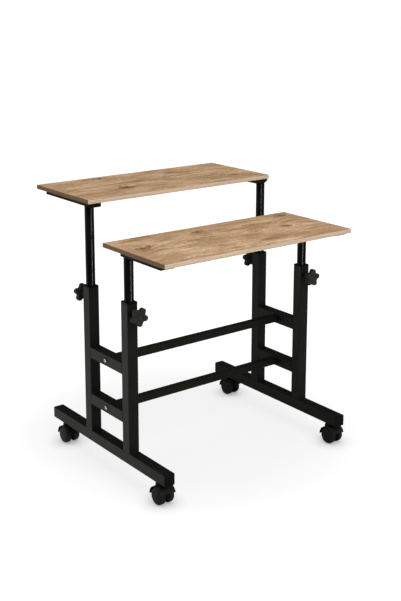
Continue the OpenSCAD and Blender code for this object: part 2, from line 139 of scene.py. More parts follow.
def round_over(edit, edges, width, segments):
    bmesh.ops.bevel(
        edit, geom=edges, offset=width, offset_type="OFFSET", segments=segments,
        profile=0.5, affect="EDGES", material=-1, clamp_overlap=True)


def turned(edit, outline, steps):
    """Spins an outline of (radius, height) points, in metres, a full turn about local Z."""
    start = [edit.verts.new((radius, 0.0, height)) for radius, height in outline]
    wires = [edit.edges.new(pair) for pair in zip(start, start[1:])]
    bmesh.ops.spin(
        edit, geom=start + wires, cent=(0.0, 0.0, 0.0), axis=(0.0, 0.0, 1.0),
        angle=2 * math.pi, steps=steps, use_merge=True)
    bmesh.ops.remove_doubles(edit, verts=edit.verts, dist=TOUCHING)


def with_turned(edit, outline, steps):
    """Adds a turned solid to a bmesh that has other shells, and leaves those as they are."""
    part = bmesh.new()
    turned(part, outline, steps)
    mesh = bpy.data.meshes.new("turned_part")
    part.to_mesh(mesh)
    part.free()
    edit.from_mesh(mesh)
    bpy.data.meshes.remove(mesh)


def placed(edit, matrix):
    bmesh.ops.transform(edit, matrix=matrix, verts=edit.verts)


def clamp_frame(end, side):
    """Local Z points out of the leg's clamp face; the origin is where the screw leaves it."""
    face = -1.0 if end == "front" else 1.0
    place = joint_place(f"clamp_turn_{end}_{side}")
    low, high, _ = box_of(f"leg_{end}_{side}")
    place.y = low.y if end == "front" else high.y
    return Matrix.Translation(place) @ Matrix.Rotation(math.radians(-90.0 * face), 4, "X")


def sideways_frame(x, middle, outward):
    """Local Z points to the right where outward is 1, and to the left where it is -1."""
    return Matrix.Translation((x, middle.y, middle.z)) @ Matrix.Rotation(math.radians(90.0 * outward), 4, "Y")


# Finishes


EASED = {"interpolation_type": "SMOOTHSTEP"}
# The highlights on powder coat and moulded plastic are a little warm
WARM_GLOSS = "#fffff0"
KNOTS = (
    # x, y and radius across the grain in metres, darkness from 0 to 1
    (-0.338, -0.186, 0.013, 0.75), (-0.303, -0.172, 0.007, 0.9), (-0.262, -0.190, 0.004, 0.7),
    (0.344, -0.083, 0.012, 0.65), (0.248, -0.222, 0.011, 0.70), (0.392, -0.176, 0.006, 0.6),
    (0.066, -0.330, 0.006, 0.5), (-0.060, -0.110, 0.010, 0.7),
    (-0.172, 0.157, 0.014, 0.85), (-0.380, 0.205, 0.004, 0.8), (0.120, 0.300, 0.009, 0.7),
    (-0.160, 0.350, 0.007, 0.6), (0.300, 0.130, 0.010, 0.7),
)
# Knots are longer along the grain: their X counts for this share
KNOT_STRETCH = (0.6, 1.0, 0.0)
SWIRLS = (
    # x, y, half length and half width in metres, slope of the grain inside
    (0.275, -0.185, 0.120, 0.085, 0.50), (-0.325, -0.195, 0.070, 0.050, 0.7),
    (-0.165, 0.165, 0.070, 0.060, 0.6), (0.120, 0.285, 0.100, 0.060, -0.6),
)
OAK_PORE, OAK_CRACK, OAK_BARK = "#7d5e40", "#634730", "#644832"
OAK_EYE = ((0.20, "#a5805c"), (0.55, "#836043"), (0.90, "#5a402c"))


def away_from(add, flat, x, y, stretch):
    """Distance from a spot on a board's face, measured in a scale stretched along the grain."""
    away = add("VectorMath", (flat, (x, y, 0.0)), operation="SUBTRACT")
    away = add("VectorMath", (away, stretch), operation="MULTIPLY")
    return add("VectorMath", (away,), operation="LENGTH")


def fibres(add, flow, length_mm, width_mm, detail, rough=0.6):
    """Flecks of about that length along the grain and that width across it, in millimetres."""
    drawn = add("Mapping", {"Vector": flow, "Scale": (per_mm(length_mm), per_mm(width_mm), 1.0)})
    return add("TexNoise", {"Vector": drawn, "Scale": 1.0, "Detail": detail, "Roughness": rough})


def strongest(add, layers):
    """The largest of several values at each point."""
    return reduce(lambda one, other: add("Math", (one, other), operation="MAXIMUM"), layers)


def oak_grain(add, flat, along, across):
    """Where the growth lines run on a face, and the eyes, halos and bark of its knots."""
    # Slow wander of the grain, then its slope inside the swirls
    wander = add("Math", (fibres(add, flat, 416.7, 125.0, 3.0, 0.5), 0.5), operation="SUBTRACT")
    lines = add("Math", (wander, 0.10, across), operation="MULTIPLY_ADD")
    for x, y, half_length, half_width, slope in SWIRLS:
        away = away_from(add, flat, x, y, (1.0 / half_length, 1.0 / half_width, 0.0))
        share = add("MapRange", (away, 1.0, 0.1, 0.0, -slope), **EASED)
        offset = add("Math", (along, x), operation="SUBTRACT")
        lines = add("Math", (offset, share, lines), operation="MULTIPLY_ADD")
    # The knots' outlines are ragged by 7 mm each way, and the lines swell round them
    ragged = add("Math", (fibres(add, flat, 12.0, 12.0, 3.0, 0.7), 0.014, -0.007), operation="MULTIPLY_ADD")
    eyes, halos, barks = [], [], []
    for x, y, radius, darkness in KNOTS:
        away = add("Math", (away_from(add, flat, x, y, KNOT_STRETCH), ragged), operation="ADD")
        reach, push = radius * 4.5, radius * 2.0
        swell = add("MapRange", (away, reach, 0.0, 0.0, push), interpolation_type="SMOOTHERSTEP")
        lines = add("Math", (lines, swell), operation="ADD")
        eyes.append(add("MapRange", (away, radius * 1.1, radius * 0.3, 0.0, darkness), **EASED))
        halos.append(add("MapRange", (away, reach, radius), **EASED))
        ring = add("Math", (away, radius * 1.15), operation="SUBTRACT")
        ring = add("Math", (ring,), operation="ABSOLUTE")
        black = 0.35 + darkness * 0.65
        barks.append(add("MapRange", (ring, radius * 0.38, radius * 0.06, 0.0, black), **EASED))
    return lines, strongest(add, eyes), strongest(add, halos), strongest(add, barks)


def rustic_oak_melamine(add):
    """Particle board with a printed rustic oak face: honey tone, wavy grain, knots and checks."""
    look = bpy.context.scene.desk_finishes
    place = add("TexCoord").outputs["Object"]
    flat = add("VectorMath", (place, (1.0, 1.0, 0.0)), operation="MULTIPLY")
    axes = add("SeparateXYZ", (flat,)).outputs
    lines, core, near, bark = oak_grain(add, flat, axes["X"], axes["Y"])
    flow = add("CombineXYZ", (axes["X"], lines))
    streaks = fibres(add, flow, 125.0, 6.667, 5.0, 0.7)
    # Bands, streaks, hairs and clouds of tone, and how much each counts
    tone = 0.0
    for flecks, weight in (
        (fibres(add, flow, 384.6, 27.78, 3.0), 0.20),
        (streaks, 0.38),
        (fibres(add, flow, 45.45, 1.923, 2.0), 0.18),
        (fibres(add, flat, 200.0, 100.0, 3.0), 0.24),
    ):
        tone = add("Math", (flecks, weight, tone), operation="MULTIPLY_ADD")
    wood = add("ValToRGB", (tone,), stops=[
        (0.41, look.oak_dark), (0.465, look.oak_mid), (0.515, look.oak_light), (0.575, look.oak_pale)])
    # Broad redder patches, as heartwood shows, and fine mottling of the print
    heart = add("MapRange", (fibres(add, flat, 294.1, 142.9, 2.0), 0.44, 0.62, 0.0, 0.42), **EASED)
    mottle = add("MapRange", (fibres(add, flat, 14.0, 7.0, 4.0, 0.75), 0.46, 0.62, 0.0, 0.6), **EASED)
    # Narrow late-wood lines, strongest where the print is dark already
    turns = add("Math", (lines, 2 * math.pi * per_mm(look.grain_spacing)), operation="MULTIPLY")
    wave = add("Math", (add("Math", (turns,), operation="SINE"), 0.5, 0.5), operation="MULTIPLY_ADD")
    crest = add("Math", (wave, 5.0), operation="POWER")
    dark = add("MapRange", (streaks, 0.60, 0.38, 0.05, 0.55), **EASED)
    late = add("Math", (crest, dark), operation="MULTIPLY")
    # Pores 1 mm wide, coarser than real ones so that they show
    pores = add("MapRange", (fibres(add, flow, 22.22, 1.0, 1.0), 0.60, 0.70, 0.0, 0.35), **EASED)
    # Checks: dark cracks that run with the grain, open near the knots and rare elsewhere
    torn = add("MapRange", (fibres(add, flow, 76.92, 7.692, 3.0), 0.56, 0.63), **EASED)
    open_by = add("Math", (near, 0.75, 0.15), operation="MULTIPLY_ADD")
    cracks = add("Math", (torn, open_by), operation="MULTIPLY")
    eyes = add("ValToRGB", (core,), stops=OAK_EYE)
    # The dark bark line round each knot is broken into arcs
    arcs = add("MapRange", (fibres(add, flow, 14.0, 14.0, 2.0, 0.5), 0.36, 0.52), **EASED)
    bark = add("Math", (bark, arcs), operation="MULTIPLY")
    for share, colour in (
        (heart, look.oak_heart), (mottle, look.oak_mottle), (late, look.oak_deep), (pores, OAK_PORE),
        (cracks, OAK_CRACK), (add("MapRange", (core, 0.02, 0.35), **EASED), eyes), (bark, OAK_BARK),
    ):
        wood = add("Mix", (share, wood, colour), data_type="RGBA")
    hollow = add("Math", (pores, cracks), operation="ADD")
    relief = add("Math", (streaks, hollow), operation="SUBTRACT")
    return {
        "Base Color": wood,
        "Roughness": add("MapRange", (streaks, 0.35, 0.65, 0.46, 0.56), **EASED),
        "Specular IOR Level": 0.3,
        "Normal": add("Bump", {"Height": relief, "Distance": 0.06 * MM}),
    }


def oak_edge_band(add):
    """2 mm edge banding with a plainer print, and painted shade that darkens the short ends."""
    look = bpy.context.scene.desk_finishes
    coordinates = add("TexCoord").outputs
    stretch = (per_mm(111.1), per_mm(111.1), per_mm(2.0))
    drawn = add("Mapping", {"Vector": coordinates["Object"], "Scale": stretch})
    streaks = add("TexNoise", {"Vector": drawn, "Scale": 1.0, "Detail": 4.0, "Roughness": 0.6})
    tone = add("ValToRGB", (streaks,), stops=[(0.3, look.band_dark), (0.7, look.band_light)])
    # Painted shade: darker tones of the band for the short ends
    painted_shade_end = add("ValToRGB", (streaks,), stops=[(0.3, look.painted_shade_end_dark), (0.7, look.painted_shade_end_light)])
    facing = add("SeparateXYZ", (coordinates["Normal"],)).outputs
    # Painted shade on the short ends, and a thin greyer line where the band's cut upper edge runs round the face
    for axis, full, colour in (("X", 0.8, painted_shade_end), ("Z", 0.9, look.band_edge)):
        turn = add("Math", (facing[axis],), operation="ABSOLUTE")
        tone = add("Mix", (add("MapRange", (turn, 0.5, full), **EASED), tone, colour), data_type="RGBA")
    return {
        "Base Color": tone,
        "Roughness": 0.42,
        "Specular IOR Level": 0.2,
        "Normal": add("Bump", {"Height": streaks, "Distance": 0.03 * MM}),
    }


def black_powder_coat(add, gloss):
    """Black powder coat on steel: a fine orange peel and a soft, low highlight."""
    look = bpy.context.scene.desk_finishes
    place = add("TexCoord").outputs["Object"]
    peel = add("TexNoise", {"Vector": place, "Scale": per_mm(1.6)})
    haze = add("TexNoise", {"Vector": place, "Scale": per_mm(60.0), "Detail": 3.0})
    return {
        "Base Color": add("ValToRGB", (haze,), stops=[(0.3, look.coat_dark), (0.7, look.coat_light)]),
        "Roughness": add("MapRange", {"Value": haze, "To Min": 0.42, "To Max": 0.56}),
        "Specular IOR Level": gloss,
        "Specular Tint": WARM_GLOSS,
        "Normal": add("Bump", {"Height": peel, "Distance": 0.04 * MM, "Strength": 0.6}),
    }


def gloss_black_enamel(add):
    """Smooth gloss black on the sliding tubes: a deep black with a narrow sharp highlight."""
    place = add("TexCoord").outputs["Object"]
    # Faint drawing marks that run up the tube, coarser than real ones so that they show
    marks = add("Mapping", {"Vector": place, "Scale": (per_mm(1.4286), per_mm(1.4286), per_mm(250.0))})
    drawn = add("TexNoise", {"Vector": marks, "Scale": 1.0})
    haze = add("TexNoise", {"Vector": place, "Scale": per_mm(90.0)})
    return {
        "Base Color": add("ValToRGB", (haze,), stops=[(0.3, "#040403"), (0.7, "#070706")]),
        "Roughness": add("MapRange", {"Value": drawn, "To Min": 0.20, "To Max": 0.26}),
        "Specular IOR Level": 0.10,
        "Normal": add("Bump", {"Height": drawn, "Distance": 0.002 * MM, "Strength": 0.2}),
    }


def moulded_plastic(add, dark, light, roughness, grain_mm, depth_mm):
    """Black moulded plastic: an even sheen over a spark-eroded grain, drawn coarse so that it shows."""
    place = add("TexCoord").outputs["Object"]
    grain = add("TexNoise", {"Vector": place, "Scale": per_mm(grain_mm), "Detail": 1.0})
    cloud = add("TexNoise", {"Vector": place, "Scale": per_mm(12.0)})
    low, high = roughness - 0.06, roughness + 0.06
    return {
        "Base Color": add("ValToRGB", (cloud,), stops=[(0.3, dark), (0.7, light)]),
        "Roughness": add("MapRange", {"Value": grain, "To Min": low, "To Max": high}),
        "Specular IOR Level": 0.16,
        "Specular Tint": WARM_GLOSS,
        "Normal": add("Bump", {"Height": grain, "Distance": depth_mm * MM}),
    }


def zinc_plate(add):
    """Bright zinc plate on steel: pale silver, faintly mottled, its marks drawn coarse so that they show."""
    place = add("TexCoord").outputs["Object"]
    mottle = add("TexNoise", {"Vector": place, "Scale": per_mm(3.0), "Detail": 3.0})
    marks = add("TexNoise", {"Vector": place, "Scale": per_mm(0.5)})
    return {
        "Base Color": add("ValToRGB", (mottle,), stops=[(0.3, "#cfd0ce"), (0.7, "#ecedea")]),
        "Metallic": 1.0,
        "Roughness": add("MapRange", {"Value": mottle, "To Min": 0.24, "To Max": 0.38}),
        "Normal": add("Bump", {"Height": marks, "Distance": 0.01 * MM}),
    }


# Each recipe adds its nodes and returns the inputs of the Principled shader
RECIPES = {
    "rustic_oak_melamine": rustic_oak_melamine,
    "oak_abs_edge_band": oak_edge_band,
    "satin_black_powder_coat": partial(black_powder_coat, gloss=0.30),
    # Painted shade: the brackets under the boards get a duller copy of the frame's coat that reflects less
    "painted_shade_black_powder_coat": partial(black_powder_coat, gloss=0.10),
    "gloss_black_tube_enamel": gloss_black_enamel,
    "grained_polypropylene": partial(
        moulded_plastic, dark="#070706", light="#0c0c0b", roughness=0.42, grain_mm=0.7, depth_mm=0.02),
    "glass_filled_nylon": partial(
        moulded_plastic, dark="#252622", light="#31322e", roughness=0.5, grain_mm=0.9, depth_mm=0.03),
    "moulded_castor_nylon": partial(
        moulded_plastic, dark="#171815", light="#222320", roughness=0.4, grain_mm=0.8, depth_mm=0.015),
    "bright_zinc_plate": zinc_plate,
}


def finish(name):
    """The named finish, made once."""
    if name not in bpy.data.materials:
        add = node_adder(bpy.data.materials.new(name))
        add("OutputMaterial", (add("BsdfPrincipled", RECIPES[name](add)),))
    return bpy.data.materials[name]


# Pieces


# The finish of each material slot
SLOT_FINISHES = {
    "oak_laminate": "rustic_oak_melamine",
    "black_powder_coat": "satin_black_powder_coat",
    "gloss_black_enamel": "gloss_black_tube_enamel",
    "black_plastic": "grained_polypropylene",
    "knob_plastic": "glass_filled_nylon",
    "castor_nylon": "moulded_castor_nylon",
    "zinc_plated_steel": "bright_zinc_plate",
}


def dress(name, material):
    """Gives a CAD node a material."""
    for slot in NODES[name].material_slots:
        slot.material = material
    if not NODES[name].material_slots:
        NODES[name].data.materials.append(material)


def finish_piece(edit, name, body, slot, replaced=(), smooth=35.0, coat=None):
    """Makes a bmesh into a piece that rides on a body; edges past smooth degrees look sharp."""
    bmesh.ops.recalc_face_normals(edit, faces=edit.faces)
    mesh = bpy.data.meshes.new(name)
    edit.to_mesh(mesh)
    edit.free()
    for face in mesh.polygons:
        face.use_smooth = True
    mesh.set_sharp_from_angle(angle=math.radians(smooth))
    mesh.materials.append(finish(coat or SLOT_FINISHES[slot]))
    piece = bpy.data.objects.new(name, mesh)
    bpy.context.scene.collection.objects.link(piece)
    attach(piece, body)
    if replaced:
        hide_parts(*replaced)


# Settings


def colour_text(name, description, default):
    return StringProperty(name=name, description=f"{description}, sRGB hex", default=default)


def millimetres(name, description, default):
    return FloatProperty(name=name, description=f"{description}, in millimetres", default=default, min=0.0)


def watts(name, description, default):
    return FloatProperty(name=name, description=f"Power of the {description}", default=default, unit="POWER")


def factor(name, description, default):
    return FloatProperty(
        name=name, description=description, default=default, min=0.0, max=1.0, subtype="FACTOR")


class DeskFinishes(bpy.types.PropertyGroup):
    oak_dark: colour_text("Oak, dark", "Darkest tone of the oak print", "#7c5a3c")
    oak_mid: colour_text("Oak, middle", "Middle tone of the oak print", "#b48f69")
    oak_light: colour_text("Oak, light", "Light tone of the oak print", "#d4b18a")
    oak_pale: colour_text("Oak, pale", "Palest tone of the oak print", "#e6cba8")
    oak_deep: colour_text("Oak, late wood", "Tone of the narrow late-wood lines", "#846243")
    oak_heart: colour_text("Oak, heartwood", "Tone of the redder patches", "#a87f60")
    oak_mottle: colour_text("Oak, mottle", "Tone of the fine dark mottling", "#957255")
    band_dark: colour_text("Long band, dark", "Dark tone of the long edges' banding", "#b99f87")
    band_light: colour_text("Long band, light", "Light tone of the long edges' banding", "#d0b8a2")
    # Painted shade: darker tones that stand in for the shade on the short edges
    painted_shade_end_dark: colour_text("End band, dark", "Dark tone of the short edges' banding", "#735637")
    painted_shade_end_light: colour_text("End band, light", "Light tone of the short edges' banding", "#92724c")
    band_edge: colour_text("Band, cut edge", "Tone of the banding's cut edge", "#857a6c")
    coat_dark: colour_text("Coat, dark", "Dark tone of the powder coat", "#0f100d")
    coat_light: colour_text("Coat, light", "Light tone of the powder coat", "#171814")
    grain_spacing: millimetres("Grain spacing", "Average distance between growth lines", 9.0)


class DeskDetails(bpy.types.PropertyGroup):
    band_thickness: millimetres("Band thickness", "Thickness of the edge banding", 2.0)
    moulded_edge: millimetres("Moulded edge", "Rounding of the moulded pieces' edges", 0.5)
    pressed_edge: millimetres("Steel edge", "Rounding of the brackets' and tubes' edges", 0.7)
    weld_size: millimetres("Weld size", "Leg length of the weld beads", 3.2)
    star_radius: millimetres("Knob radius", "Radius over the lobes", 32.0)
    lobe_radius: millimetres("Lobe radius", "Radius of each lobe's end", 10.0)
    valley_radius: millimetres("Valley radius", "Radius of the hollows between lobes", 7.0)
    star_thickness: millimetres("Star thickness", "Thickness of the star", 18.0)
    star_rounding: millimetres("Star rounding", "Radius of the star's edges", 3.4)
    neck_radius: millimetres("Neck radius", "Radius of the knob's neck", 9.0)
    thread_pitch: millimetres("Thread pitch", "Pitch of the M8 thread", 1.25)
    washer_inner: millimetres("Washer inside", "Inner radius of the washers", 7.2)
    washer_outer: millimetres("Washer outside", "Outer radius of the washers", 9.5)


class DeskStage(bpy.types.PropertyGroup):
    camera_azimuth: FloatProperty(
        name="Azimuth", description="Direction the camera looks from, 0 being the front",
        default=math.radians(-37.28), subtype="ANGLE")
    camera_tilt: FloatProperty(
        name="Tilt", description="How far the camera looks down", default=math.radians(12.0), subtype="ANGLE")
    camera_distance: FloatProperty(
        name="Distance", description="Level distance from the origin", default=3.5605, unit="LENGTH")
    camera_side: FloatProperty(
        name="Sideways", description="Camera's offset to its right", default=0.0100, unit="LENGTH")
    camera_height: FloatProperty(
        name="Height", description="Camera's height above the floor", default=1.6219, unit="LENGTH")
    camera_lens: FloatProperty(
        name="Lens", description="Focal length on a 36 mm long side", default=61.64, unit="CAMERA")
    shift_x: FloatProperty(name="Shift X", description="Sideways lens shift", default=0.0101)
    shift_y: FloatProperty(name="Shift Y", description="Upright lens shift", default=-0.1537)
    front_power: watts("Front", "large front softbox", 100.0)
    panel_power: watts("Panel", "white panel at the left", 2.5)
    top_power: watts("Top", "overhead softbox", 24.0)
    strip_power: watts("Strip", "narrow strip light that the tubes mirror", 22.0)
    ambient: factor("Ambient", "Strength of the world for soft light", 0.40)
    ceiling: factor("Ceiling", "Level of the dark ceiling in reflections", 0.03)
    floor_paint: factor("Floor paint", "Reflectance of the floor as it is seen", 0.22)
    floor_bounce: factor("Floor bounce", "Reflectance of the floor as it lights the desk", 0.35)
    floor_lift: factor("Floor lift", "Glow that lifts the seen floor to white", 0.75)
    floor_mirror: factor("Floor in gloss", "Share of the white floor that glossy surfaces reflect", 0.1)


# Operators


class DESK_OT_finishes(bpy.types.Operator):
    """Gives every CAD node the finish of its material slot"""
    bl_idname = "desk.finishes"
    bl_label = "Finish the CAD nodes"

    def execute(self, context):
        for part in frame["record"]["subparts"]:
            coat = SLOT_FINISHES[part["material_slot"]]
            # Painted shade: the brackets take the duller, darker copy of the coat
            dress(part["node"], finish("painted_shade_black_powder_coat" if "bracket" in part["node"] else coat))
        return {"FINISHED"}


class DESK_OT_boards(bpy.types.Operator):
    """Builds both boards: a laminated core with four strips of edge banding"""
    bl_idname = "desk.boards"
    bl_label = "Build the boards"

    # Radius of the banding's outer edges, as a share of its thickness
    ROUNDING = 0.8

    def execute(self, context):
        band = context.scene.desk_details.band_thickness * MM
        for end in ENDS:
            low, high, _ = box_of(f"{end}_board")
            self.core(end, low, high, band)
            self.strips(end, low, high, band)
        return {"FINISHED"}

    def core(self, end, low, high, band):
        edit = bmesh.new()
        inset = Vector((band, band, 0.0))
        block(edit, low + inset, high - inset)
        finish_piece(edit, f"{end}_board_core", f"{end}_top", "oak_laminate", replaced=[f"{end}_board"])

    def strips(self, end, low, high, band):
        for name, corner_a, corner_b in (
            ("front_edge_band", low, (high.x, low.y + band, high.z)),
            ("back_edge_band", (low.x, high.y - band, low.z), high),
            ("left_edge_band", (low.x, low.y + band, low.z), (low.x + band, high.y - band, high.z)),
            ("right_edge_band", (high.x - band, low.y + band, low.z), (high.x, high.y - band, high.z)),
        ):
            edit = bmesh.new()
            block(edit, corner_a, corner_b)
            round_over(edit, self.outer_edges(edit, low, high), band * self.ROUNDING, segments=3)
            finish_piece(edit, f"{end}_board_{name}", f"{end}_top", "oak_laminate", coat="oak_abs_edge_band")

    def outer_edges(self, edit, low, high):
        """The edges of a strip that a hand would feel: on two outer faces of the board at once."""
        def outside(edge):
            middle = (edge.verts[0].co + edge.verts[1].co) / 2
            gaps = [abs(middle[axis] - limit[axis]) for axis in range(3) for limit in (low, high)]
            return sum(gap < TOUCHING for gap in gaps) == 2
        return [edge for edge in edit.edges if outside(edge)]


class DESK_OT_soft_edges(bpy.types.Operator):
    """Takes the sharp arrises off the moulded and pressed pieces and the inner tubes"""
    bl_idname = "desk.soft_edges"
    bl_label = "Soften the edges"

    # In degrees: faces within FLAT are one face, and an edge past SHARP is rounded
    FLAT, SHARP = 1.0, 40.0

    def execute(self, context):
        details = context.scene.desk_details
        for end, side in CORNERS:
            self.soften(f"guide_collar_{end}_{side}", details.moulded_edge * MM)
            self.soften(f"castor_housing_{end}_{side}", details.moulded_edge * MM)
            self.soften(f"{end}_bracket_{side}", details.pressed_edge * MM)
            self.soften(f"{end}_tube_{side}", details.pressed_edge * MM)
        self.soften("foot_end_caps", details.moulded_edge * MM)
        return {"FINISHED"}

    def soften(self, name, width):
        """Merges a copy of the CAD node, joins its flat faces and rounds its sharp edges."""
        record = frame["record"]
        body = next(key for key, members in record["behaviour"]["bodies"].items() if name in members)
        slot = next(part["material_slot"] for part in record["subparts"] if part["node"] == name)
        edit = bmesh.new()
        edit.from_mesh(NODES[name].data)
        bmesh.ops.remove_doubles(edit, verts=edit.verts, dist=TOUCHING)
        bmesh.ops.dissolve_limit(
            edit, angle_limit=math.radians(self.FLAT), use_dissolve_boundaries=False,
            verts=edit.verts, edges=edit.edges, delimit={"NORMAL"})
        sharp = [
            edge for edge in edit.edges
            if edge.is_manifold and edge.calc_face_angle(0.0) > math.radians(self.SHARP)]
        round_over(edit, sharp, width, segments=2)
        finish_piece(edit, f"{name}_soft_edged", body, slot, replaced=[name], smooth=28.0,
                     coat=NODES[name].material_slots[0].material.name)


class DESK_OT_welds(bpy.types.Operator):
    """Lays rippled weld beads along the frame's joints"""
    bl_idname = "desk.welds"
    bl_label = "Lay the weld beads"

    # A bead runs across the flat of a 40 mm tube
    BEAD_LENGTH = 32.0 * MM
    # Its section outwards and upwards, as shares of its leg length, sunk a little into both tubes
    SECTION = ((-0.1, -0.1), (1.0, -0.1), (0.82, 0.28), (0.55, 0.55), (0.28, 0.82), (-0.1, 1.0))
    # Distance between ripples as a share of the leg length, and the share that every other one keeps
    RIPPLE, RIPPLE_LOW = 0.35, 0.86
    # The share of its size that a bead starts with, and how fast it gains the rest along its length
    TAPER, TAPER_GAIN = 0.45, 4.0
    # The ring round a tube: ripples in a turn, and their depth as a share of its radius
    RING_RIPPLES, RING_DEPTH = 30, 0.012

    def execute(self, context):
        size = context.scene.desk_details.weld_size * MM
        for end, side in CORNERS:
            low, high, middle = box_of(f"leg_{end}_{side}")
            for edge, toward in ((low.y, -1.0), (high.y, 1.0)):
                place = "outer" if (toward < 0) == (end == "front") else "inner"
                self.bead(f"weld_foot_{end}_{side}_{place}", (middle.x, edge, low.z), toward, 1.0, size)
            for level in ("upper", "lower"):
                low, high, middle = box_of(f"rung_{level}_{side}")
                edge, toward = (low.y, 1.0) if end == "front" else (high.y, -1.0)
                for place, height, up in (("top", high.z, 1.0), ("under", low.z, -1.0)):
                    name = f"weld_rung_{level}_{end}_{side}_{place}"
                    self.bead(name, (middle.x, edge, height), toward, up, size)
            self.ring(end, side, size)
        return {"FINISHED"}

    def bead(self, name, middle, toward, up, size):
        """A fillet along X with the ripples of a hand-laid weld, tapered at both ends."""
        steps = max(6, round(self.BEAD_LENGTH / (size * self.RIPPLE)))
        edit = bmesh.new()
        rings = []
        for step in range(steps + 1):
            share = step / steps
            leg = size * (1.0 if step % 2 else self.RIPPLE_LOW)
            leg *= min(1.0, self.TAPER + self.TAPER_GAIN * min(share, 1 - share))
            x = middle[0] + self.BEAD_LENGTH * (share - 0.5)
            ring = [
                edit.verts.new((x, middle[1] + toward * leg * a, middle[2] + up * leg * b))
                for a, b in self.SECTION]
            rings.append([edit.edges.new(pair) for pair in zip(ring, ring[1:] + ring[:1])])
        for one, other in zip(rings, rings[1:]):
            bmesh.ops.bridge_loops(edit, edges=one + other)
        bmesh.ops.edgeloop_fill(edit, edges=rings[0])
        bmesh.ops.edgeloop_fill(edit, edges=rings[-1])
        finish_piece(edit, name, "frame", "black_powder_coat", smooth=60.0)

    def ring(self, end, side, size):
        """The ring of weld between an inner tube and its bracket."""
        low, high, middle = box_of(f"{end}_tube_{side}")
        radius = (high.x - low.x) / 2
        inside, top = radius - 0.4 * MM, 0.2 * MM
        edit = bmesh.new()
        turned(edit, [
            (inside, top), (radius + size, top), (radius + size * 0.75, -size * 0.35),
            (radius + size * 0.35, -size * 0.75), (inside, -size), (inside, top),
        ], steps=60)
        for vert in edit.verts:
            turn = math.atan2(vert.co.y, vert.co.x)
            swell = 1.0 + self.RING_DEPTH * math.sin(turn * self.RING_RIPPLES)
            vert.co.x *= swell
            vert.co.y *= swell
        placed(edit, Matrix.Translation((middle.x, middle.y, high.z)))
        finish_piece(edit, f"weld_tube_{end}_{side}", f"{end}_top", "black_powder_coat", smooth=60.0)


